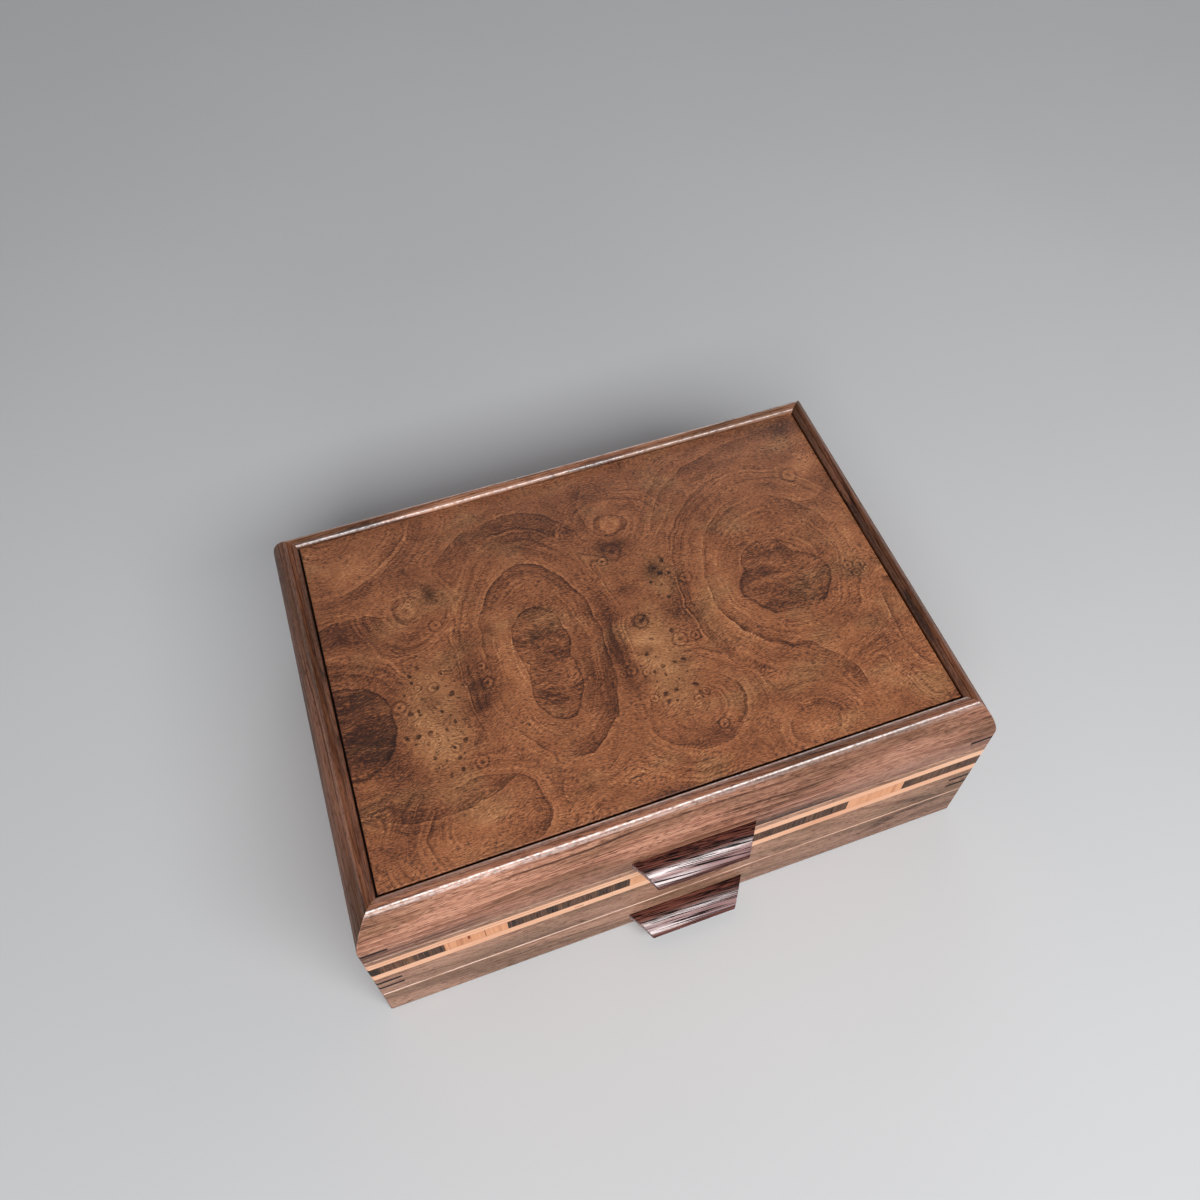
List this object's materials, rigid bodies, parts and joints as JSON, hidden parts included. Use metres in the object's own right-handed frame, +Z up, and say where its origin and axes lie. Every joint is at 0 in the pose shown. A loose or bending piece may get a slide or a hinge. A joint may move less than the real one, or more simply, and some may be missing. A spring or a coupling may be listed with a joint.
{
  "type": "cufflink box with drawer",
  "caption": "Walnut cufflink box with a hinged rounded lid over a tray of cells, an inlaid maple and wenge band, and a full-width drawer below.",
  "frame": {"origin": "middle of the flat base, on the surface that the box rests on, handles left out", "axes": "+Z up, +X along the width to the right, -Y towards the front with the two handles"},
  "size_m": [0.27, 0.2015, 0.101],
  "materials": {
    "walnut": "satin lacquer",
    "walnut_burl": "gloss lacquer",
    "maple": "satin lacquer",
    "wenge": "satin lacquer",
    "handle_wood": "gloss lacquer",
    "birch_ply": "matt",
    "liner_wood": "satin",
    "divider_wood": "satin",
    "drawer_wood": "satin",
    "suede": "napped",
    "baize": "napped",
    "brass": "polished"
  },
  "bodies": {
    "case": {"base_baize": "baize", "base_panel": "birch_ply", "case_back": "walnut", "case_front_rail": "walnut", "case_left_side": "walnut", "case_right_side": "walnut", "case_spline_keys": "wenge", "cross_divider_1": "divider_wood", "cross_divider_2": "divider_wood", "cross_divider_3": "divider_wood", "cross_divider_4": "divider_wood", "cross_divider_5": "divider_wood", "drawer_stop": "drawer_wood", "drawer_stop_screw": "brass", "hinge_case_leaves": "brass", "hinge_case_screws": "brass", "hinge_pins": "brass", "liner_back": "liner_wood", "liner_front": "liner_wood", "liner_left": "liner_wood", "liner_right": "liner_wood", "long_divider_1": "divider_wood", "long_divider_2": "divider_wood", "long_divider_3": "divider_wood", "maple_blocks_back": "maple", "maple_blocks_front": "maple", "maple_blocks_left": "maple", "maple_blocks_right": "maple", "maple_lines_back": "maple", "maple_lines_front": "maple", "maple_lines_left": "maple", "maple_lines_right": "maple", "tray_floor": "birch_ply", "tray_lining": "suede", "wenge_blocks_back": "wenge", "wenge_blocks_front": "wenge", "wenge_blocks_left": "wenge", "wenge_blocks_right": "wenge"},
    "lid": {"hinge_lid_leaves": "brass", "hinge_lid_screws": "brass", "lid_handle": "handle_wood", "lid_handle_screws": "brass", "lid_lining": "suede", "lid_panel": "walnut_burl", "lid_rail_back": "walnut", "lid_rail_front": "walnut", "lid_rail_left": "walnut", "lid_rail_right": "walnut", "lid_spline_keys": "wenge"},
    "drawer": {"drawer_back": "drawer_wood", "drawer_bottom": "birch_ply", "drawer_divider_1": "divider_wood", "drawer_divider_2": "divider_wood", "drawer_front": "walnut", "drawer_handle": "handle_wood", "drawer_handle_screws": "brass", "drawer_left_side": "drawer_wood", "drawer_lining": "suede", "drawer_right_side": "drawer_wood"}
  },
  "joints": [
    {"name": "lid_hinge", "type": "hinge", "parent": "case", "child": "lid", "pos_m": [0, 0.092, 0.071], "axis": [-1, 0, 0], "range_deg": [0, 95]},
    {"name": "drawer_slide", "type": "slide", "parent": "case", "child": "drawer", "axis": [0, -1, 0], "range_m": [0, 0.115]}
  ]
}
